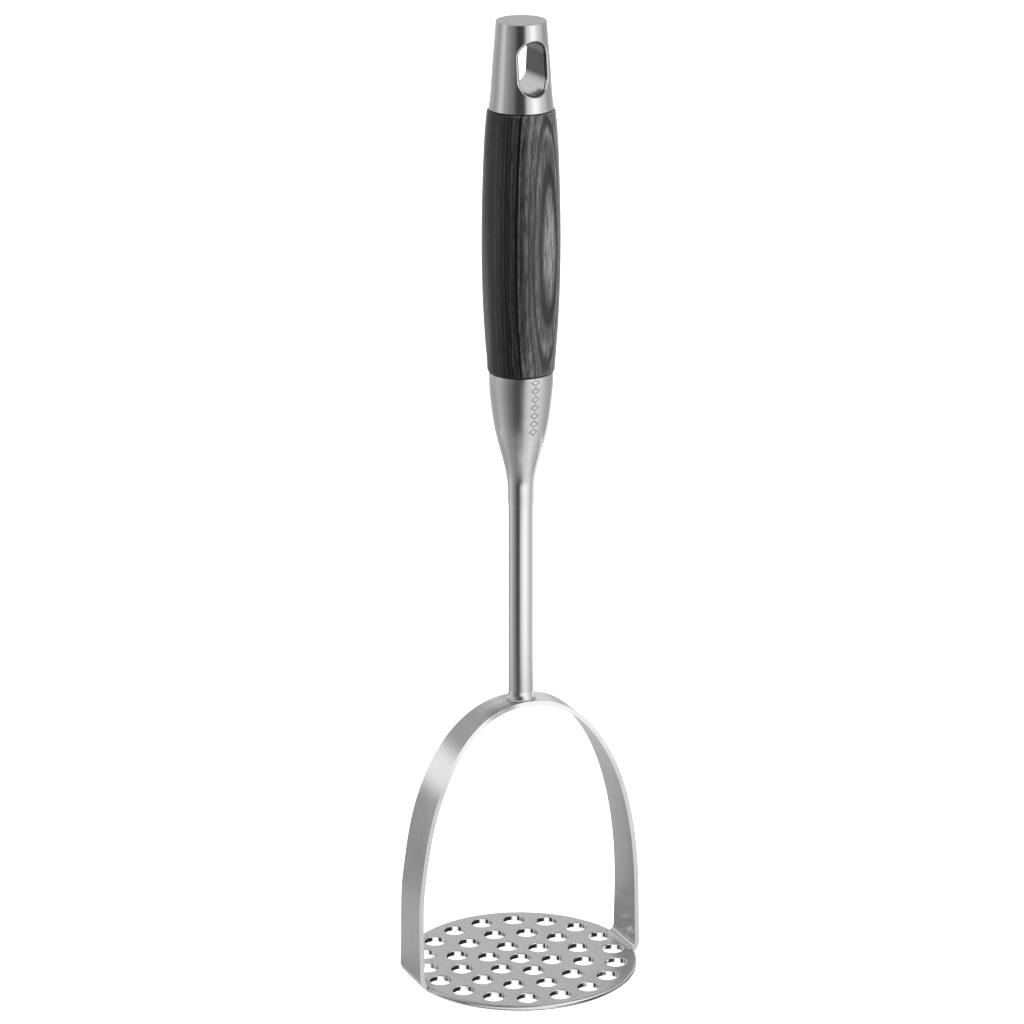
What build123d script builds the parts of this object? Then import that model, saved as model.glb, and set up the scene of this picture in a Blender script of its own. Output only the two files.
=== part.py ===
from build123d import *
import math
import os

os.makedirs("parts", exist_ok=True)

# Frame: Z runs up along the handle axis, Z = 0 is the underside of the mashing disk,
# the arch of the yoke lies in the XZ plane. All lengths are millimetres.

# mashing disk
disk_radius = 40.0
disk_thickness = 1.8
disk_edge_round = 0.6
hole_radius = 3.75
hole_edge_round = 0.3
ring_pitch = 11.0
# holes in each ring, and the angle of the first hole from the X axis
hole_rings = ((6, 30.0), (12, 0.0), (18, 10.0))

# yoke: one flat strip bent into an arch with its two ends turned in under the legs
strap_thickness = 1.6
strap_foot_width = 18.0
strap_middle_width = 15.9
strap_middle_height = 50.0
strap_shoulder_width = 12.9
strap_shoulder_height = 88.0
strap_apex_width = 10.6
leg_outer_x = 41.2
leg_straight_top = 17.6
apex_height = 97.8
arch_fullness = 2.24
foot_bend_radius = 4.3
foot_tab_end_x = 36.8
notch_depth = 6.0
weld_bead_width = 0.9
weld_bead_height = 0.15
weld_end_gap = 0.4

# shank, weld collar and the tang inside the grip
shank_radius = 4.2
shank_top = 188.0
collar_radius = 5.1
collar_height = 3.0
collar_sink = 0.6
collar_lip = 0.05
collar_waist_offset = 0.22
tang_radius = 3.0
tang_top = 304.6
shank_socket_depth = 12.0

# bolster between shank and grip
bolster_bottom = 167.0
bolster_top = 212.6
bolster_mouth_radius = 10.65
bolster_cup_radius = 8.4
bolster_cup_floor = 202.0
bolster_cone_drop = 4.0
bolster_lip = 0.15

# grip with its seals and filler
seal_thickness = 0.4
seal_radius = 10.35
grip_tenon_radius = 8.2
grip_tenon_bottom = 203.0
grip_end_radius = 11.15
grip_end_round = 0.6
grip_waist_radius = 12.98
grip_bore_radius = 3.7
grip_socket_radius = 5.8

# end cap with its hanging slot
cap_bottom = 301.2
cap_top = 330.0
cap_bottom_radius = 10.65
cap_top_radius = 8.25
cap_spigot_radius = 5.6
cap_spigot_bottom = 289.0
cap_top_round = 0.4
slot_width = 9.6
slot_height = 17.0
slot_centre_height = 315.4
slot_offset = 0.3
slot_turn = 3.0
slot_edge_round = 0.8

grip_bottom = bolster_top + seal_thickness
grip_top = cap_bottom - seal_thickness
bolster_cone_bottom = bolster_cup_floor - bolster_cone_drop
arch_rise = apex_height - leg_straight_top


def arch_point(angle, inset):
    # point on the upper arch curve, moved inwards by inset along the curve's normal
    power = 2.0 / arch_fullness
    side = 1.0 if angle < 90.0 else -1.0
    run = abs(math.cos(math.radians(angle))) ** power
    rise = math.sin(math.radians(angle)) ** power
    slope_x = run ** (arch_fullness - 1.0) / leg_outer_x
    slope_z = rise ** (arch_fullness - 1.0) / arch_rise
    length = math.hypot(slope_x, slope_z)
    x = side * (leg_outer_x * run - inset * slope_x / length)
    z = leg_straight_top + arch_rise * rise - inset * slope_z / length
    return (x, z)


def arch_curve(inset):
    steps = 14
    points = [arch_point(180.0 * step / steps, inset) for step in range(steps + 1)]
    return points


# ---- mashing disk -------------------------------------------------------------
with BuildPart() as masher_disk:
    with BuildSketch(Plane.XY):
        Circle(disk_radius)
    extrude(amount=disk_thickness)
    fillet(masher_disk.edges(), disk_edge_round)
    with BuildSketch(Plane.XY):
        for ring, (count, first_angle) in enumerate(hole_rings, start=1):
            with PolarLocations(ring * ring_pitch, count, start_angle=first_angle):
                Circle(hole_radius)
        Circle(hole_radius)
    extrude(amount=disk_thickness, mode=Mode.SUBTRACT)
    top_hole_edges = (
        masher_disk.edges()
        .filter_by(GeomType.CIRCLE)
        .filter_by(lambda edge: abs(edge.radius - hole_radius) < 0.01)
        .filter_by(lambda edge: abs(edge.center().Z - disk_thickness) < 0.01)
    )
    fillet(top_hole_edges, hole_edge_round)
    # straight notches that take the turned-in ends of the yoke
    with BuildSketch(Plane.XY):
        notch_centre = foot_tab_end_x + notch_depth / 2.0
        with Locations((notch_centre, 0.0), (-notch_centre, 0.0)):
            Rectangle(notch_depth, strap_foot_width)
    extrude(amount=disk_thickness, mode=Mode.SUBTRACT)
masher_disk.part.label = "masher_disk"
export_step(masher_disk.part, "parts/masher_disk.step")

# ---- yoke strap ---------------------------------------------------------------
with BuildPart() as yoke_strap:
    with BuildSketch(Plane.XZ):
        with BuildLine():
            bend_x = leg_outer_x - foot_bend_radius
            bend_z = foot_bend_radius
            inner_bend = foot_bend_radius - strap_thickness
            inner_x = leg_outer_x - strap_thickness
            Spline(*arch_curve(0.0), tangents=[(0.0, 1.0), (0.0, -1.0)])
            Spline(*arch_curve(strap_thickness), tangents=[(0.0, 1.0), (0.0, -1.0)])
            for side in (1.0, -1.0):
                Line((side * leg_outer_x, leg_straight_top), (side * leg_outer_x, bend_z))
                Line((side * inner_x, leg_straight_top), (side * inner_x, bend_z))
                RadiusArc((side * leg_outer_x, bend_z), (side * bend_x, 0.0), side * foot_bend_radius)
                RadiusArc((side * inner_x, bend_z), (side * bend_x, strap_thickness), side * inner_bend)
                Line((side * bend_x, 0.0), (side * foot_tab_end_x, 0.0))
                Line((side * bend_x, strap_thickness), (side * foot_tab_end_x, strap_thickness))
                Line((side * foot_tab_end_x, 0.0), (side * foot_tab_end_x, strap_thickness))
        make_face()
    extrude(amount=strap_foot_width, both=True)
    # the strip narrows from the feet towards the apex
    foot_half = strap_foot_width / 2.0
    middle_half = strap_middle_width / 2.0
    shoulder_half = strap_shoulder_width / 2.0
    apex_half = strap_apex_width / 2.0
    with BuildSketch(Plane.YZ):
        with BuildLine():
            Line((-foot_half, 0.0), (foot_half, 0.0))
            for side in (1.0, -1.0):
                Spline(
                    (side * foot_half, 0.0),
                    (side * middle_half, strap_middle_height),
                    (side * shoulder_half, strap_shoulder_height),
                    (side * apex_half, apex_height),
                )
            Line((apex_half, apex_height), (-apex_half, apex_height))
        make_face()
    extrude(amount=2.0 * leg_outer_x, both=True, mode=Mode.INTERSECT)
yoke_strap.part.label = "yoke_strap"
export_step(yoke_strap.part, "parts/yoke_strap.step")


def foot_weld(side):
    # low ground-down bead that covers the butt seam between disk notch and strap end
    low = strap_thickness
    crown = disk_thickness + weld_bead_height
    seam = side * foot_tab_end_x
    reach = side * weld_bead_width / 2.0
    with BuildPart() as bead:
        with BuildSketch(Plane.XZ):
            with BuildLine():
                Line((seam, low), (seam + reach, low))
                ThreePointArc((seam + reach, low), (seam, crown), (seam - reach, disk_thickness))
                Line((seam - reach, disk_thickness), (seam, disk_thickness))
                Line((seam, disk_thickness), (seam, low))
            make_face()
        extrude(amount=strap_foot_width / 2.0 - weld_end_gap, both=True)
        add(yoke_strap.part, mode=Mode.SUBTRACT)
    return bead.part


# ---- welds at the two feet ----------------------------------------------------
foot_weld_right = foot_weld(1.0)
foot_weld_right.label = "foot_weld_right"
export_step(foot_weld_right, "parts/foot_weld_right.step")

foot_weld_left = foot_weld(-1.0)
foot_weld_left.label = "foot_weld_left"
export_step(foot_weld_left, "parts/foot_weld_left.step")

# ---- shank --------------------------------------------------------------------
with BuildPart() as shank_rod:
    with BuildSketch(Plane.XY.offset(apex_height)):
        Circle(shank_radius)
    extrude(amount=shank_top - apex_height)
    # tapped hole that holds the lower end of the tang
    with BuildSketch(Plane.XY.offset(shank_top - shank_socket_depth)):
        Circle(tang_radius)
    extrude(amount=shank_socket_depth, mode=Mode.SUBTRACT)
shank_rod.part.label = "shank_rod"
export_step(shank_rod.part, "parts/shank_rod.step")

# ---- weld collar where the shank stands on the yoke ------------------------------
with BuildPart() as shank_weld:
    collar_bottom = apex_height - collar_sink
    collar_edge = apex_height + collar_lip
    collar_top = apex_height + collar_height
    with BuildSketch(Plane.XZ):
        with BuildLine():
            Line((shank_radius, collar_bottom), (collar_radius, collar_bottom))
            Line((collar_radius, collar_bottom), (collar_radius, collar_edge))
            Spline(
                (collar_radius, collar_edge),
                (shank_radius + collar_waist_offset, apex_height + 0.4 * collar_height),
                (shank_radius, collar_top),
                tangents=[(-0.7, 0.3), (0.0, 1.0)],
            )
            Line((shank_radius, collar_top), (shank_radius, collar_bottom))
        make_face()
    revolve(axis=Axis.Z)
    add(yoke_strap.part, mode=Mode.SUBTRACT)
shank_weld.part.label = "shank_weld"
export_step(shank_weld.part, "parts/shank_weld.step")

# ---- bolster ------------------------------------------------------------------
with BuildPart() as bolster:
    with BuildSketch(Plane.XZ):
        with BuildLine():
            Line((shank_radius, bolster_bottom), (shank_radius + bolster_lip, bolster_bottom))
            Spline(
                (shank_radius + bolster_lip, bolster_bottom),
                (4.62, 174.9),
                (6.92, 185.3),
                (9.25, 195.7),
                (10.47, 206.1),
                (bolster_mouth_radius, bolster_top),
                tangents=[(0.0, 1.0), (0.0, 1.0)],
            )
            Line((bolster_mouth_radius, bolster_top), (bolster_cup_radius, bolster_top))
            Line((bolster_cup_radius, bolster_top), (bolster_cup_radius, bolster_cup_floor))
            Line((bolster_cup_radius, bolster_cup_floor), (shank_radius, bolster_cone_bottom))
            Line((shank_radius, bolster_cone_bottom), (shank_radius, bolster_bottom))
        make_face()
    revolve(axis=Axis.Z)
bolster.part.label = "bolster"
export_step(bolster.part, "parts/bolster.step")

# ---- tang: threaded rod that ties shank, grip and cap together ---------------------
with BuildPart() as tang:
    tang_bottom = shank_top - shank_socket_depth
    with BuildSketch(Plane.XY.offset(tang_bottom)):
        Circle(tang_radius)
    extrude(amount=tang_top - tang_bottom)
tang.part.label = "tang"
export_step(tang.part, "parts/tang.step")

# ---- grip ---------------------------------------------------------------------
with BuildPart() as wood_grip:
    with BuildSketch(Plane.XZ):
        with BuildLine():
            Line((grip_bore_radius, grip_tenon_bottom), (grip_tenon_radius, grip_tenon_bottom))
            Line((grip_tenon_radius, grip_tenon_bottom), (grip_tenon_radius, grip_bottom))
            Line((grip_tenon_radius, grip_bottom), (grip_end_radius, grip_bottom))
            Spline(
                (grip_end_radius, grip_bottom),
                (11.6, 219.5),
                (12.3, 230.0),
                (grip_waist_radius, 256.0),
                (12.36, 283.9),
                (11.7, 295.4),
                (grip_end_radius, grip_top),
            )
            Line((grip_end_radius, grip_top), (grip_socket_radius, grip_top))
            Line((grip_socket_radius, grip_top), (grip_socket_radius, cap_spigot_bottom))
            Line((grip_socket_radius, cap_spigot_bottom), (grip_bore_radius, cap_spigot_bottom))
            Line((grip_bore_radius, cap_spigot_bottom), (grip_bore_radius, grip_tenon_bottom))
        make_face()
    revolve(axis=Axis.Z)
    end_edges = (
        wood_grip.edges()
        .filter_by(GeomType.CIRCLE)
        .filter_by(lambda edge: abs(edge.radius - grip_end_radius) < 0.01)
    )
    fillet(end_edges, grip_end_round)
wood_grip.part.label = "wood_grip"
export_step(wood_grip.part, "parts/wood_grip.step")

# ---- adhesive sleeve between tang and grip bore --------------------------------------
with BuildPart() as grip_adhesive:
    with BuildSketch(Plane.XY.offset(grip_tenon_bottom)):
        Circle(grip_bore_radius)
        Circle(tang_radius, mode=Mode.SUBTRACT)
    extrude(amount=cap_spigot_bottom - grip_tenon_bottom)
grip_adhesive.part.label = "grip_adhesive"
export_step(grip_adhesive.part, "parts/grip_adhesive.step")

# ---- thin seals between steel and grip ---------------------------------------------
with BuildPart() as lower_seal:
    with BuildSketch(Plane.XY.offset(bolster_top)):
        Circle(seal_radius)
        Circle(bolster_cup_radius, mode=Mode.SUBTRACT)
    extrude(amount=seal_thickness)
lower_seal.part.label = "lower_seal"
export_step(lower_seal.part, "parts/lower_seal.step")

with BuildPart() as upper_seal:
    with BuildSketch(Plane.XY.offset(grip_top)):
        Circle(seal_radius)
        Circle(grip_socket_radius, mode=Mode.SUBTRACT)
    extrude(amount=seal_thickness)
upper_seal.part.label = "upper_seal"
export_step(upper_seal.part, "parts/upper_seal.step")

# ---- end cap with hanging slot -------------------------------------------------------
with BuildPart() as end_cap:
    with BuildSketch(Plane.XZ):
        with BuildLine():
            Line((0.0, cap_spigot_bottom), (cap_spigot_radius, cap_spigot_bottom))
            Line((cap_spigot_radius, cap_spigot_bottom), (cap_spigot_radius, cap_bottom))
            Line((cap_spigot_radius, cap_bottom), (cap_bottom_radius, cap_bottom))
            Spline(
                (cap_bottom_radius, cap_bottom),
                (10.24, 304.2),
                (9.76, 310.3),
                (9.29, 316.9),
                (8.74, 323.4),
                (cap_top_radius, cap_top),
            )
            Line((cap_top_radius, cap_top), (0.0, cap_top))
            Line((0.0, cap_top), (0.0, cap_spigot_bottom))
        make_face()
    revolve(axis=Axis.Z)
    top_rim = end_cap.edges().group_by(Axis.Z)[-1].filter_by(GeomType.CIRCLE)
    fillet(top_rim, cap_top_round)
    across_x = math.cos(math.radians(slot_turn))
    across_y = math.sin(math.radians(slot_turn))
    slot_plane = Plane(
        origin=(slot_offset * across_x, slot_offset * across_y, slot_centre_height),
        x_dir=(across_x, across_y, 0.0),
        z_dir=(across_y, -across_x, 0.0),
    )
    with BuildSketch(slot_plane):
        SlotOverall(slot_height, slot_width, rotation=90)
    extrude(amount=2.0 * cap_bottom_radius, both=True, mode=Mode.SUBTRACT)
    fillet(end_cap.edges(Select.LAST).filter_by(GeomType.LINE, reverse=True), slot_edge_round)
    # tapped hole for the upper end of the tang
    with BuildSketch(Plane.XY.offset(cap_spigot_bottom)):
        Circle(tang_radius)
    extrude(amount=tang_top - cap_spigot_bottom, mode=Mode.SUBTRACT)
end_cap.part.label = "end_cap"
export_step(end_cap.part, "parts/end_cap.step")
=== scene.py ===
import math

import bpy
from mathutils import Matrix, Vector

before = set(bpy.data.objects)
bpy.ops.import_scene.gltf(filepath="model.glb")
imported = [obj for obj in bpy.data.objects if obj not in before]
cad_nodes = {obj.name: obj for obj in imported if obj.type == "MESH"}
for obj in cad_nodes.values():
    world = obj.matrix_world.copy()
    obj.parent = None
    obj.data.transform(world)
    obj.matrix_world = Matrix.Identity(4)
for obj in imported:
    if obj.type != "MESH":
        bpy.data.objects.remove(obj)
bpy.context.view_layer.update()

MM = 0.001

# camera: same direction and distance as the picture that this part follows
CAMERA_AZIMUTH = -24.2
CAMERA_ELEVATION = 18.1
CAMERA_DISTANCE = 1.4317
CAMERA_LENS = 151.0
CAMERA_SENSOR = 36.0
AIM_HEIGHT = 163.6 * MM
AIM_SHIFT = -2.97 * MM

# engraved mark of the bolster: a row of hollow lozenges, one above the other
MARK_AZIMUTH = 2.8
MARK_LOW = 192.4 * MM
MARK_PITCH = 2.9 * MM
MARK_COUNT = 7
MARK_HALF_WIDTH = 1.35 * MM
MARK_WIDTH_TO_HEIGHT = 1.25
MARK_HALF_LINE = 0.24 * MM
MARK_DEPTH = 0.05 * MM

# hanging slot of the end cap; its width lies along a line turned from the X axis
SLOT_TURN = 3.0
SLOT_OFFSET = 0.3 * MM
SLOT_CENTRE = 315.4 * MM
SLOT_HALF_WIDTH = 4.8 * MM
SLOT_HALF_STRAIGHT = 3.7 * MM
# where its painted highlight and painted shade fade: past its walls, above its lower bend, and over
# the front of its floor
SLOT_FADE = (SLOT_HALF_WIDTH + 0.45 * MM, SLOT_HALF_WIDTH + 1.00 * MM)
SLOT_WALL_RISE = (-SLOT_HALF_STRAIGHT - 1.6 * MM, -SLOT_HALF_STRAIGHT + 1.0 * MM)
SLOT_LIP_RISE = (-7.6 * MM, -6.6 * MM)
SLOT_LIP_FORWARD = (3.5 * MM, 7.0 * MM)

# painted shade on a patch of the yoke beside the weld of the shank
SHADE_PATCH_X = (-14.0 * MM, -4.5 * MM)
SHADE_PATCH_X_FADE = 3.0 * MM
SHADE_PATCH_Y = (-5.0 * MM, 0.8 * MM)
SHADE_PATCH_Z = (88.0 * MM, 92.0 * MM)
SHADE_PATCH_DEPTH = 0.58

# rim of the masher disk: its satin begins between these two radii
RIM_RADII = (38.0 * MM, 38.8 * MM)

# grip wood: thin dyed veneers pressed together, cut by the turned barrel
VENEER_THICKNESS = 0.78 * MM
VENEER_SWAY = 1.1 * MM
VENEER_FACE_ANGLE = 22.0

# light tent: rings of panels round the object that only reflections see. A panel is its angle
# round the handle (0 towards the camera, positive to the right of it) and its brightness.
TENT_RADIUS = 0.35
TENT_LOW = -0.45
TENT_HIGH = 0.70
TENT_STRENGTH = 1.5
CEILING_LIGHT = 0.55
CEILING_FADE = (0.385, 0.402)
FLARE_PANELS = (
    (-180, 0.66), (-140, 0.56), (-90, 0.50), (-58, 0.36), (-24, 0.27), (0, 0.40), (24, 0.76),
    (40, 0.88), (54, 1.00), (75, 0.78), (106, 0.54), (130, 0.66), (180, 0.90),
)
BOLSTER_PANELS = (
    (-180, 0.60), (-144, 0.58), (-128, 0.47), (-106, 0.47), (-89, 0.60), (-74, 0.49), (-60, 0.35),
    (-40, 0.20), (-22, 0.10), (-8, 0.08), (3, 0.18), (12, 0.48), (24, 0.80), (45, 0.90), (60, 0.92),
    (74, 0.83), (89, 0.67), (106, 0.52), (128, 0.44), (144, 0.50), (180, 0.60),
)
SHANK_PANELS = (
    (-180, 0.70), (-150, 0.58), (-106, 0.84), (-84, 0.58), (-58, 0.28), (-34, 0.08), (-20, 0.06),
    (9, 1.04), (38, 1.45), (60, 1.14), (88, 0.74), (106, 0.60), (124, 0.95), (148, 1.30), (180, 1.20),
)
HANDLE_PANELS = (
    (-180, 1.05), (-150, 0.60), (-106, 0.42), (-76, 0.80), (-60, 0.42), (-34, 0.24), (-12, 0.05),
    (9, 0.05), (26, 0.88), (50, 1.40), (85, 0.78), (112, 0.42), (150, 0.50), (180, 1.05),
)
# above the flare panels, each band takes over between its two heights
TENT_BANDS = (
    (-0.110, -0.045, BOLSTER_PANELS),
    (-0.032, -0.012, SHANK_PANELS),
    (0.075, 0.105, HANDLE_PANELS),
)
# soft-edged cards blended into the rings: angles, heights, brightness, fades of both edges
CARD_SIDE_FADE = 0.012
# left side of the yoke: a shade, and above it a bright strip beside its shoulder
YOKE_CARDS = (
    ((-134.0, -116.0), (-0.060, 0.058), 0.40, (0.008, 0.008)),
    ((-131.0, -115.0), (0.070, 0.160), 1.40, (0.013, 0.034)),
)
# behind, on both sides of the ring's seam: two shades that the top of the yoke reflects, and
# one that the top of the cap reflects. The top of the disk reflects the gap between the two.
REAR_ANGLES = ((150.0, 190.0), (-190.0, -168.0))
REAR_CARDS = (
    ((-0.090, 0.095), 0.60, (0.008, 0.008)),
    ((0.210, 0.290), 0.62, (0.008, 0.008)),
    ((0.320, 0.410), 0.48, (0.010, 0.010)),
)
# shade on the low ring that the foot of the right leg reflects
FOOT_CARD = ((-168.0, -122.0), (-0.085, -0.0735), 0.16, (0.001, 0.001))

# screen close to the handle, met only by reflections in the upper half of the bolster
SCREEN_RADIUS = 0.10
SCREEN_BOTTOM = 0.1395
SCREEN_TOP = 0.186
SCREEN_REACH = 140.0

# low ring that the disk and the feet reflect; on its front stands a short screen for the rim
LOW_RING_RADIUS = 0.20
LOW_RING_BOTTOM = -0.135
LOW_RING_TOP = -0.060
LOW_RING_FADE = (-0.0775, -0.0752)
RIM_SCREEN_TOP = -0.030
RIM_SCREEN_REACH = 32.0
HOLE_PANELS = (
    (-180, 0.30), (-150, 0.50), (-122, 0.55), (-108, 0.10), (-97, 0.10), (-86, 0.70), (-76, 0.03),
    (-52, 0.02), (-38, 0.95), (4, 1.20), (20, 0.90), (34, 0.02), (140, 0.02), (160, 0.30), (180, 0.30),
)
LOW_PANELS = (
    (-180, 0.60), (-120, 0.58), (-92, 0.57), (-72, 0.42), (-52, 0.24), (-32, 0.42), (-12, 0.74),
    (10, 0.95), (30, 1.10), (48, 0.66), (62, 0.03), (76, 0.03), (90, 0.55), (108, 1.05), (128, 0.60),
    (150, 0.50), (180, 0.50),
)

# light that reaches matt surfaces, and the pale surroundings of the picture
LAMP_AIM = Vector((0.0, 0.0, 0.2))
WORLD_LIGHT = 0.14
FLOOR_REACH = 12.0
FLOOR_DROP = 0.05 * MM
FLOOR_GLOW = 0.82
BACKDROP_RADIUS = 11.0


def grey(tone):
    return (tone, tone, tone, 1.0)


def facing(azimuth, elevation=0.0):
    """Unit vector that points from the handle towards an azimuth (0 is -Y) and an elevation."""
    turn = math.radians(azimuth)
    tilt = math.radians(elevation)
    return Vector((math.sin(turn) * math.cos(tilt), -math.cos(turn) * math.cos(tilt), math.sin(tilt)))


def beside(azimuth):
    """Level unit vector to the right of an azimuth, for someone who looks at the handle from it."""
    turn = math.radians(azimuth)
    return Vector((math.cos(turn), math.sin(turn), 0.0))


class Shader:
    """A material's node tree, with one short method for each kind of node used here."""

    def __init__(self, name):
        self.material = bpy.data.materials.new(name)
        self.material.use_nodes = True
        self.nodes = self.material.node_tree.nodes
        self.links = self.material.node_tree.links
        self.surface = self.nodes["Principled BSDF"]

    def place(self, socket, value):
        if isinstance(value, bpy.types.NodeSocket):
            self.links.new(value, socket)
        else:
            socket.default_value = value

    def position(self):
        return self.nodes.new("ShaderNodeTexCoord").outputs["Object"]

    def normal(self):
        return self.nodes.new("ShaderNodeTexCoord").outputs["Normal"]

    def split(self, vector):
        node = self.nodes.new("ShaderNodeSeparateXYZ")
        self.place(node.inputs[0], vector)
        return node.outputs

    def join(self, x, y, z):
        node = self.nodes.new("ShaderNodeCombineXYZ")
        for socket, value in zip(node.inputs, (x, y, z)):
            self.place(socket, value)
        return node.outputs[0]

    def plain(self, shade):
        return self.join(shade, shade, shade)

    def math(self, operation, first, second=0.0, third=0.0):
        node = self.nodes.new("ShaderNodeMath")
        node.operation = operation
        for socket, value in zip(node.inputs, (first, second, third)):
            self.place(socket, value)
        return node.outputs[0]

    def minus(self, first, second):
        return self.math("SUBTRACT", first, second)

    def size(self, value):
        return self.math("ABSOLUTE", value)

    def times(self, first, *others):
        for other in others:
            first = self.math("MULTIPLY", first, other)
        return first

    def vary(self, base, *swings):
        """Add patterns to a base value, each pattern times its own swing."""
        for pattern, swing in swings:
            base = self.math("MULTIPLY_ADD", pattern, swing, base)
        return base

    def vector(self, operation, first, second):
        node = self.nodes.new("ShaderNodeVectorMath")
        node.operation = operation
        self.place(node.inputs[0], first)
        self.place(node.inputs[1], second)
        return node.outputs

    def stretch(self, vector, scale):
        return self.vector("MULTIPLY", vector, scale)[0]

    def dot(self, vector, direction):
        return self.vector("DOT_PRODUCT", vector, direction)["Value"]

    def noise(self, vector, scale=1.0, detail=2.0, roughness=0.5):
        node = self.nodes.new("ShaderNodeTexNoise")
        self.place(node.inputs["Vector"], vector)
        self.place(node.inputs["Scale"], scale)
        self.place(node.inputs["Detail"], detail)
        self.place(node.inputs["Roughness"], roughness)
        return node.outputs["Fac"]

    def remap(self, value, low, high, new_low, new_high, smooth=False):
        node = self.nodes.new("ShaderNodeMapRange")
        node.interpolation_type = "SMOOTHSTEP" if smooth else "LINEAR"
        for socket, item in zip(node.inputs, (value, low, high, new_low, new_high)):
            self.place(socket, item)
        return node.outputs[0]

    def rise(self, value, low, high):
        return self.remap(value, low, high, 0.0, 1.0, smooth=True)

    def fall(self, value, low, high):
        return self.remap(value, low, high, 1.0, 0.0, smooth=True)

    def window(self, value, low, high, low_fade, high_fade):
        """1 between low and high and 0 outside them, with a soft edge at each."""
        above = self.rise(value, low - low_fade, low + low_fade)
        below = self.fall(value, high - high_fade, high + high_fade)
        return self.times(above, below)

    def ramp(self, factor, stops):
        node = self.nodes.new("ShaderNodeValToRGB")
        ramp = node.color_ramp
        ramp.interpolation = "EASE"
        while len(ramp.elements) < len(stops):
            ramp.elements.new(0.5)
        for element, (place, tone) in zip(ramp.elements, stops):
            element.position = place
            element.color = grey(tone)
        self.place(node.inputs[0], factor)
        return node.outputs["Color"]

    def blend(self, factor, first, second):
        node = self.nodes.new("ShaderNodeMix")
        node.data_type = "RGBA"
        node.blend_type = "MIX"
        self.place(node.inputs["Factor"], factor)
        self.place(node.inputs["A"], first)
        self.place(node.inputs["B"], second)
        return [out for out in node.outputs if out.type == "RGBA"][0]

    def bump(self, height, distance, under=None):
        node = self.nodes.new("ShaderNodeBump")
        self.place(node.inputs["Height"], height)
        self.place(node.inputs["Distance"], distance)
        self.place(node.inputs["Strength"], 1.0)
        if under is not None:
            self.place(node.inputs["Normal"], under)
        return node.outputs[0]

    def set(self, **values):
        for name, value in values.items():
            title = name.replace("_", " ").title().replace("Ior", "IOR")
            self.place(self.surface.inputs[title], value)


# ---- steel ---------------------------------------------------------------------


def turned_steel(name, tone, roughness, mark=False, slotted=False):
    """Steel polished on a lathe: faint rings round the axis, and soft wear between them."""
    shader = Shader(name)
    place = shader.position()
    rings = shader.noise(shader.stretch(place, (90.0, 90.0, 5200.0)), detail=3.0)
    clouds = shader.noise(place, scale=160.0, detail=3.0)
    shade = shader.vary(tone - 0.06, (rings, 0.08), (clouds, 0.05))
    gloss = shader.vary(roughness - 0.05, (rings, 0.07), (clouds, 0.06))
    relief = shader.bump(rings, 0.004 * MM)
    colour = shader.plain(shade)
    if mark:
        colour, gloss, relief = engraved(shader, place, colour, gloss, relief)
    if slotted:
        colour, gloss = slot_painted_light(shader, place, colour, gloss)
    shader.set(base_color=colour, metallic=1.0, roughness=gloss, anisotropic=0.35, normal=relief)
    tangent = shader.nodes.new("ShaderNodeTangent")
    tangent.direction_type = "RADIAL"
    tangent.axis = "Z"
    shader.set(tangent=tangent.outputs[0])
    return shader.material


def engraved(shader, place, colour, gloss, relief):
    """A plain engraved row of hollow lozenges that runs up the bolster."""
    side = shader.size(shader.dot(place, beside(MARK_AZIMUTH)))
    height = shader.split(place)[2]
    along = shader.math("FRACT", shader.math("DIVIDE", shader.minus(height, MARK_LOW), MARK_PITCH))
    along = shader.size(shader.times(shader.minus(along, 0.5), MARK_PITCH))
    outline = shader.math("ADD", side, shader.times(along, MARK_WIDTH_TO_HEIGHT))
    line = shader.math("COMPARE", outline, MARK_HALF_WIDTH, MARK_HALF_LINE)
    above = shader.math("GREATER_THAN", height, MARK_LOW)
    below = shader.math("LESS_THAN", height, MARK_LOW + MARK_COUNT * MARK_PITCH)
    front = shader.math("GREATER_THAN", shader.dot(place, facing(MARK_AZIMUTH)), 0.0)
    cut = shader.times(line, shader.times(above, below), front)
    wear = shader.remap(shader.noise(place, scale=2600.0), 0.35, 0.6, 0.45, 1.0)
    colour = shader.blend(shader.times(cut, wear), colour, grey(0.20))
    gloss = shader.vary(gloss, (cut, 0.25))
    relief = shader.bump(shader.times(cut, -1.0), MARK_DEPTH, under=relief)
    return colour, gloss, relief


def slot_painted_light(shader, place, colour, gloss):
    """Milled inside of the hanging slot: a painted highlight, with painted shade on its walls and on
    its front lip.
    """
    across = shader.minus(shader.dot(place, beside(SLOT_TURN)), SLOT_OFFSET)
    forward = shader.dot(place, facing(SLOT_TURN))
    rise = shader.minus(shader.split(place)[2], SLOT_CENTRE)
    past_straight = shader.minus(shader.size(rise), SLOT_HALF_STRAIGHT)
    past_straight = shader.math("MAXIMUM", past_straight, 0.0)
    square = shader.times(past_straight, past_straight)
    away = shader.math("SQRT", shader.vary(square, (across, across)))
    inside = shader.fall(away, *SLOT_FADE)
    wall_shade = shader.rise(rise, *SLOT_WALL_RISE)
    lip_shade = shader.times(shader.rise(forward, *SLOT_LIP_FORWARD), shader.fall(rise, *SLOT_LIP_RISE))
    shade_share = shader.times(inside, shader.math("MAXIMUM", wall_shade, lip_shade))
    marks = shader.noise(shader.stretch(place, (300.0, 2600.0, 300.0)), detail=3.0)
    # painted shade for the walls and the front lip, painted highlight for the rest of the slot, both
    # streaked by milling marks
    painted_shade = shader.plain(shader.vary(0.12, (marks, 0.08)))
    painted_highlight = shader.plain(shader.vary(0.90, (marks, 0.08)))
    colour = shader.blend(inside, colour, painted_highlight)
    colour = shader.blend(shade_share, colour, painted_shade)
    gloss = shader.vary(gloss, (shade_share, 0.12))
    return colour, gloss


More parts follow.
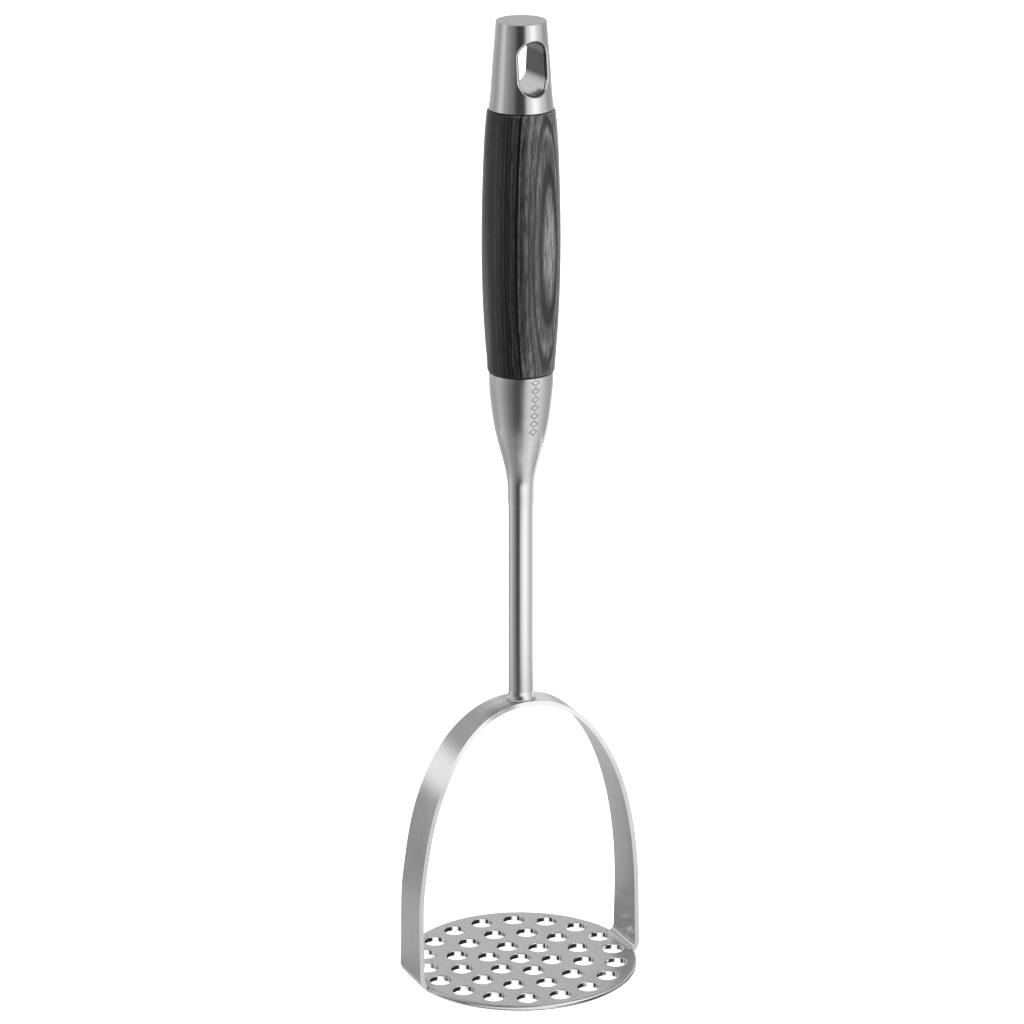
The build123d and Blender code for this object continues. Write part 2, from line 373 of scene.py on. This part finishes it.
def strap_steel():
    """Flat strip brushed along its length, with bright sheared edges."""
    shader = Shader("strap_satin_steel")
    place = shader.position()
    lines = shader.noise(shader.stretch(place, (70.0, 3600.0, 70.0)), detail=3.0)
    clouds = shader.noise(place, scale=120.0, detail=3.0)
    face = shader.size(shader.split(shader.normal())[1])
    edge = shader.remap(face, 0.6, 0.9, 0.0, 1.0)
    shade = shader.vary(0.48, (lines, 0.16), (clouds, 0.08), (edge, 0.08))
    # painted shade on a patch beside the weld of the shank, left of the rod and towards the front edge
    shade = shader.times(shade, shader.minus(1.0, painted_shade_patch(shader, place, lines)))
    gloss = shader.vary(0.11, (lines, 0.10), (clouds, 0.06))
    relief = shader.bump(lines, 0.006 * MM)
    shader.set(base_color=shader.plain(shade), metallic=1.0, roughness=gloss, normal=relief)
    return shader.material


def painted_shade_patch(shader, place, lines):
    """How dark the painted shade makes the streaks on a patch beside the weld of the shank."""
    x, y, z = shader.split(place)
    return shader.times(
        shader.window(x, *SHADE_PATCH_X, SHADE_PATCH_X_FADE, SHADE_PATCH_X_FADE),
        shader.remap(y, *SHADE_PATCH_Y, 1.0, 0.0),
        shader.remap(z, *SHADE_PATCH_Z, 0.0, SHADE_PATCH_DEPTH),
        shader.remap(lines, 0.35, 0.65, 0.7, 1.15),
    )


def disk_steel():
    """Fine satin faces, bright punched hole walls and a satin rim."""
    shader = Shader("disk_satin_steel")
    place = shader.position()
    grain = shader.noise(place, scale=1500.0, detail=4.0, roughness=0.65)
    rolled = shader.noise(shader.stretch(place, (260.0, 1500.0, 260.0)), detail=3.0)
    clouds = shader.noise(place, scale=70.0, detail=3.0)
    x, y = shader.split(place)[:2]
    radius = shader.math("SQRT", shader.math("ADD", shader.times(x, x), shader.times(y, y)))
    rim = shader.remap(radius, *RIM_RADII, 0.0, 1.0)
    flat = shader.remap(shader.size(shader.split(shader.normal())[2]), 0.55, 0.98, 0.0, 1.0)
    face = shader.vary(0.18, (grain, 0.48), (rolled, 0.10), (clouds, 0.08))
    wall = shader.vary(0.88, (rim, -0.10), (grain, 0.06))
    shade = shader.math("ADD", shader.times(flat, shader.minus(face, wall)), wall)
    face_gloss = shader.vary(0.28, (grain, 0.10))
    wall_gloss = shader.vary(0.06, (rim, 0.10))
    gloss = shader.math("ADD", shader.times(flat, shader.minus(face_gloss, wall_gloss)), wall_gloss)
    relief = shader.bump(shader.times(grain, flat), 0.012 * MM)
    shader.set(base_color=shader.plain(shade), metallic=1.0, roughness=gloss, normal=relief)
    return shader.material


def weld_steel():
    """Ground weld: small ripples and heat-dulled patches."""
    shader = Shader("weld_steel")
    place = shader.position()
    ripples = shader.noise(shader.stretch(place, (400.0, 1600.0, 400.0)), detail=2.0)
    patches = shader.noise(place, scale=600.0, detail=3.0)
    shade = shader.vary(0.46, (patches, 0.22))
    gloss = shader.vary(0.12, (patches, 0.14))
    relief = shader.bump(ripples, 0.06 * MM)
    shader.set(base_color=shader.plain(shade), metallic=1.0, roughness=gloss, normal=relief)
    return shader.material


# ---- grip ----------------------------------------------------------------------


def grip_wood():
    """Charcoal veneers on a turned barrel: ovals where they face out, lines round the sides."""
    shader = Shader("charcoal_laminated_wood")
    place = shader.position()
    depth = shader.dot(place, facing(VENEER_FACE_ANGLE))
    sway = shader.noise(shader.stretch(place, (90.0, 90.0, 16.0)), detail=2.0)
    depth = shader.vary(depth, (sway, VENEER_SWAY))
    layer = shader.math("DIVIDE", depth, VENEER_THICKNESS)
    veneer = shader.noise(shader.join(layer, 0.0, 0.0), scale=1.0, detail=1.0, roughness=0.4)
    fibre = shader.noise(shader.stretch(place, (1700.0, 1700.0, 95.0)), detail=3.0, roughness=0.55)
    pore = shader.noise(shader.stretch(place, (4000.0, 4000.0, 300.0)), detail=2.0)
    tone = shader.times(
        shader.remap(veneer, 0.38, 0.62, 0.005, 0.130, smooth=True),
        shader.remap(fibre, 0.30, 0.70, 0.20, 1.80),
        shader.remap(pore, 0.34, 0.46, 0.25, 1.0),
    )
    gloss = shader.vary(0.33, (fibre, -0.16))
    relief = shader.bump(pore, 0.03 * MM)
    relief = shader.bump(fibre, 0.055 * MM, under=relief)
    shader.set(base_color=shader.plain(tone), roughness=gloss, normal=relief, ior=1.53)
    return shader.material


def seal_rubber():
    """Thin black sealing bead."""
    shader = Shader("black_seal")
    specks = shader.noise(shader.position(), scale=3000.0, detail=3.0)
    shade = shader.vary(0.006, (specks, 0.02))
    relief = shader.bump(specks, 0.02 * MM)
    shader.set(base_color=shader.plain(shade), roughness=0.6, normal=relief)
    return shader.material


def adhesive_resin():
    """Dark cured resin, seen only when the grip is cut open."""
    shader = Shader("cured_resin")
    clouds = shader.noise(shader.position(), scale=700.0, detail=4.0)
    shade = shader.vary(0.05, (clouds, 0.08))
    relief = shader.bump(clouds, 0.03 * MM)
    shader.set(base_color=shader.plain(shade), roughness=0.35, normal=relief)
    return shader.material


def dress(material, *names):
    for name in names:
        node = cad_nodes[name]
        for slot in node.material_slots:
            slot.material = material


dress(disk_steel(), "masher_disk")
dress(strap_steel(), "yoke_strap")
dress(weld_steel(), "foot_weld_left", "foot_weld_right")
dress(turned_steel("shank_steel", 0.68, 0.16), "shank_rod", "shank_weld")
dress(turned_steel("bolster_steel", 0.68, 0.15, mark=True), "bolster")
dress(turned_steel("cap_steel", 0.68, 0.13, slotted=True), "end_cap")
dress(turned_steel("tang_steel", 0.55, 0.30), "tang")
dress(grip_wood(), "wood_grip")
dress(seal_rubber(), "lower_seal", "upper_seal")
dress(adhesive_resin(), "grip_adhesive")


# ---- studio --------------------------------------------------------------------


def new_mesh(name, points, faces):
    mesh = bpy.data.meshes.new(name)
    mesh.from_pydata(points, [], faces)
    thing = bpy.data.objects.new(name, mesh)
    bpy.context.collection.objects.link(thing)
    return thing


def plain_sheet(name, corners):
    return new_mesh(name, corners, [tuple(range(len(corners)))])


def see_only(thing, camera=False, glossy=False):
    """Hide a thing from every kind of ray but the one that is named."""
    thing.visible_camera = camera
    thing.visible_glossy = glossy
    thing.visible_diffuse = False
    thing.visible_transmission = False
    thing.visible_volume_scatter = False
    thing.visible_shadow = False


def glow(shader, light, strength):
    """Turn a material into one that only gives off light."""
    shader.set(base_color=grey(0.0), roughness=1.0, emission_color=light, emission_strength=strength)
    shader.material.cycles.emission_sampling = "NONE"


def make_floor():
    """Plain pale floor, bright enough to stay near white, with a faint contact shadow."""
    signs = ((-1.0, -1.0), (1.0, -1.0), (1.0, 1.0), (-1.0, 1.0))
    corners = [(across * FLOOR_REACH, along * FLOOR_REACH, 0.0) for across, along in signs]
    floor = plain_sheet("floor", corners)
    floor.location.z = -FLOOR_DROP
    shader = Shader("pale_floor")
    mottle = shader.noise(shader.position(), scale=6.0, detail=3.0)
    shade = shader.vary(0.88, (mottle, 0.02))
    shader.set(base_color=shader.plain(shade), roughness=0.9)
    shader.set(emission_color=grey(1.0), emission_strength=FLOOR_GLOW)
    floor.data.materials.append(shader.material)
    see_only(floor, camera=True)


def make_backdrop():
    """White dome that only the camera sees."""
    rings = 24
    spokes = 48
    points = []
    faces = []
    for row in range(rings + 1):
        tilt = math.pi * row / rings
        for column in range(spokes):
            turn = 2.0 * math.pi * column / spokes
            points.append((
                BACKDROP_RADIUS * math.sin(tilt) * math.cos(turn),
                BACKDROP_RADIUS * math.sin(tilt) * math.sin(turn),
                BACKDROP_RADIUS * math.cos(tilt),
            ))
    for row in range(rings):
        for column in range(spokes):
            after = (column + 1) % spokes
            faces.append((
                row * spokes + column,
                row * spokes + after,
                (row + 1) * spokes + after,
                (row + 1) * spokes + column,
            ))
    dome = new_mesh("backdrop", points, faces)
    shader = Shader("white_backdrop")
    glow(shader, grey(1.0), 1.0)
    dome.data.materials.append(shader.material)
    see_only(dome, camera=True)


def ring_of_light(name, radius, low, high, make_light, reach=180.0):
    """Upright ring, seen by reflections only, whose brightness follows angle and height."""
    steps = 180
    points = []
    faces = []
    for height in (low, high):
        for column in range(steps + 1):
            turn = math.radians(reach * (2.0 * column / steps - 1.0))
            points.append((radius * math.sin(turn), -radius * math.cos(turn), height))
    for column in range(steps):
        above = column + steps + 1
        faces.append((column, column + 1, above + 1, above))
    ring = new_mesh(name, points, faces)
    ring.rotation_euler.z = math.radians(CAMERA_AZIMUTH)

    shader = Shader(name + "_panels")
    x, y, z = shader.split(shader.position())
    around = shader.math("ARCTAN2", x, shader.times(y, -1.0))
    around = shader.math("MULTIPLY_ADD", around, 0.5 / math.pi, 0.5)
    glow(shader, make_light(shader, around, z), TENT_STRENGTH)
    ring.data.materials.append(shader.material)
    see_only(ring, glossy=True)


def turn_share(angle):
    return (angle + 180.0) / 360.0


def panels(shader, around, stops):
    """Blend smoothly from each panel to the next."""
    return shader.ramp(around, [(turn_share(angle), light / TENT_STRENGTH) for angle, light in stops])


def card(shader, light, around, z, angles, heights, brightness, fades):
    """Blend one soft-edged card into a ring. The fades are those of its lower and upper edge."""
    left, right = (turn_share(angle) for angle in angles)
    sides = shader.window(around, left, right, CARD_SIDE_FADE, CARD_SIDE_FADE)
    share = shader.times(sides, shader.window(z, *heights, *fades))
    return shader.blend(share, light, grey(brightness / TENT_STRENGTH))


def tall_ring(shader, around, z):
    """From the bottom up: what the flare, the bolster, the shank and the handle reflect."""
    light = panels(shader, around, FLARE_PANELS)
    for low, high, stops in TENT_BANDS:
        light = shader.blend(shader.rise(z, low, high), light, panels(shader, around, stops))
    for angles, heights, brightness, fades in YOKE_CARDS:
        light = card(shader, light, around, z, angles, heights, brightness, fades)
    for angles in REAR_ANGLES:
        for heights, brightness, fades in REAR_CARDS:
            light = card(shader, light, around, z, angles, heights, brightness, fades)
    return shader.blend(shader.rise(z, *CEILING_FADE), light, grey(CEILING_LIGHT / TENT_STRENGTH))


def bolster_screen(shader, around, z):
    return panels(shader, around, BOLSTER_PANELS)


def rim_screen(shader, around, z):
    return panels(shader, around, LOW_PANELS)


def low_ring(shader, around, z):
    """Panels for the walls of the holes below, and for the rim and the feet above them."""
    rise = shader.rise(z, *LOW_RING_FADE)
    light = shader.blend(rise, panels(shader, around, HOLE_PANELS), panels(shader, around, LOW_PANELS))
    return card(shader, light, around, z, *FOOT_CARD)


def make_ceiling():
    """Soft lid over the tent."""
    spokes = 64
    rim = [2.0 * math.pi * spoke / spokes for spoke in range(spokes)]
    corners = [(TENT_RADIUS * math.cos(turn), TENT_RADIUS * math.sin(turn), TENT_HIGH) for turn in rim]
    lid = plain_sheet("tent_lid", corners)
    shader = Shader("tent_lid_light")
    glow(shader, grey(1.0), CEILING_LIGHT)
    lid.data.materials.append(shader.material)
    see_only(lid, glossy=True)


def aim_back(thing, target, back, distance):
    """Put a camera or a lamp at a distance from its target, and turn it to face the target."""
    thing.location = target + back * distance
    thing.rotation_mode = "QUATERNION"
    thing.rotation_quaternion = (-back).to_track_quat("-Z", "Y")


def make_softbox(name, azimuth, elevation, distance, size, power):
    """Square area light aimed at the grip, seen by matt surfaces and not by reflections."""
    data = bpy.data.lights.new(name, "AREA")
    data.shape = "SQUARE"
    data.size = size
    data.energy = power
    lamp = bpy.data.objects.new(name, data)
    bpy.context.collection.objects.link(lamp)
    aim_back(lamp, LAMP_AIM, facing(azimuth, elevation), distance)
    lamp.visible_camera = False
    lamp.visible_glossy = False


def make_world():
    """Even faint light from all sides."""
    world = bpy.data.worlds.new("soft_surround")
    bpy.context.scene.world = world
    world.use_nodes = True
    background = world.node_tree.nodes["Background"]
    background.inputs["Color"].default_value = grey(1.0)
    background.inputs["Strength"].default_value = WORLD_LIGHT


def make_camera():
    data = bpy.data.cameras.new("camera")
    data.lens = CAMERA_LENS
    data.sensor_width = CAMERA_SENSOR
    data.clip_start = 0.05
    data.clip_end = 60.0
    camera = bpy.data.objects.new("camera", data)
    bpy.context.collection.objects.link(camera)
    target = Vector((0.0, 0.0, AIM_HEIGHT)) + beside(CAMERA_AZIMUTH) * AIM_SHIFT
    aim_back(camera, target, facing(CAMERA_AZIMUTH, CAMERA_ELEVATION), CAMERA_DISTANCE)
    bpy.context.scene.camera = camera


make_floor()
make_backdrop()
ring_of_light("light_tent", TENT_RADIUS, TENT_LOW, TENT_HIGH, tall_ring)
ring_of_light(
    "bolster_screen", SCREEN_RADIUS, SCREEN_BOTTOM, SCREEN_TOP, bolster_screen, reach=SCREEN_REACH
)
ring_of_light(
    "rim_screen", LOW_RING_RADIUS, LOW_RING_TOP, RIM_SCREEN_TOP, rim_screen, reach=RIM_SCREEN_REACH
)
ring_of_light("light_tent_low", LOW_RING_RADIUS, LOW_RING_BOTTOM, LOW_RING_TOP, low_ring)
make_ceiling()
make_softbox(
    "key_right", azimuth=CAMERA_AZIMUTH + 78.0, elevation=25.0, distance=1.6, size=0.8, power=60.0
)
make_softbox(
    "fill_back", azimuth=CAMERA_AZIMUTH + 190.0, elevation=40.0, distance=1.8, size=1.2, power=10.0
)
make_world()
make_camera()
bpy.context.scene.view_settings.view_transform = "Standard"
